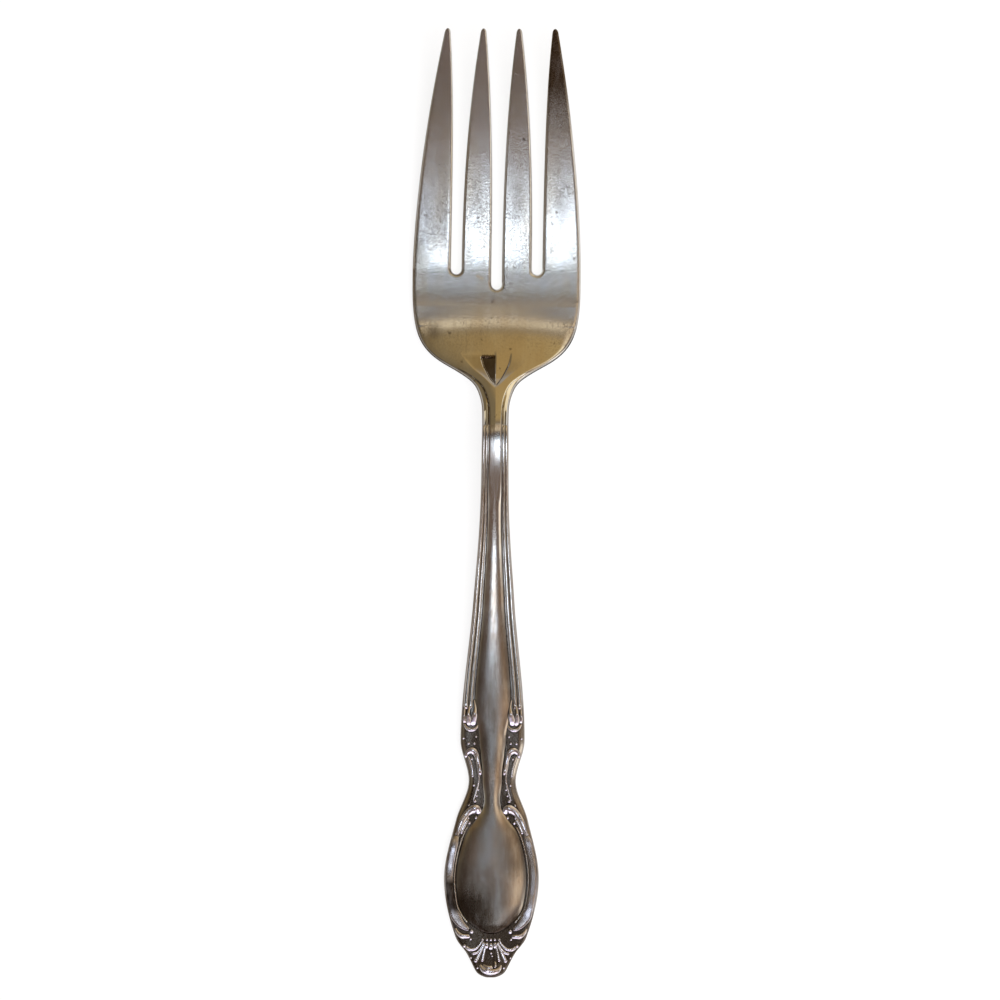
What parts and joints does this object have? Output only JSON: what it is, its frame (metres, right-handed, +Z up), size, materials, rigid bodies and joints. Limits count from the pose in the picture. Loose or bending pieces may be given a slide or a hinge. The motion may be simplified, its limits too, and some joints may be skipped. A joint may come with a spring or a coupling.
{
  "type": "meat fork",
  "caption": "Serving fork with long tapering tines, a broad dished head, an arched neck and a slim handle that ends in a scrolled oval cartouche, for lifting sliced meat",
  "frame": {"origin": "on the table, under the middle of the fork's length, with the fork on its back", "axes": "+X to the right across the fork, +Y along it towards the tines, +Z up from the table to the ornamented side"},
  "size_m": [0.0384, 0.216, 0.0123],
  "materials": {
    "satin_silver": "old silver plate, finely scratched",
    "stem_silver": "polished silver plate with light tarnish",
    "bright_silver": "bright silver plate with dark tarnish in the recesses"
  },
  "bodies": {
    "root": {"fork_head": "satin_silver", "handle": "stem_silver", "left_stem_reed": "stem_silver", "right_stem_reed": "stem_silver", "left_knee_petals": "bright_silver", "right_knee_petals": "bright_silver", "left_waist_scroll": "bright_silver", "right_waist_scroll": "bright_silver", "left_bead_drop": "bright_silver", "right_bead_drop": "bright_silver", "left_rim_scroll": "bright_silver", "right_rim_scroll": "bright_silver", "left_inner_rim": "stem_silver", "right_inner_rim": "stem_silver", "shell": "bright_silver", "tip_boss": "bright_silver"}
  },
  "joints": []
}
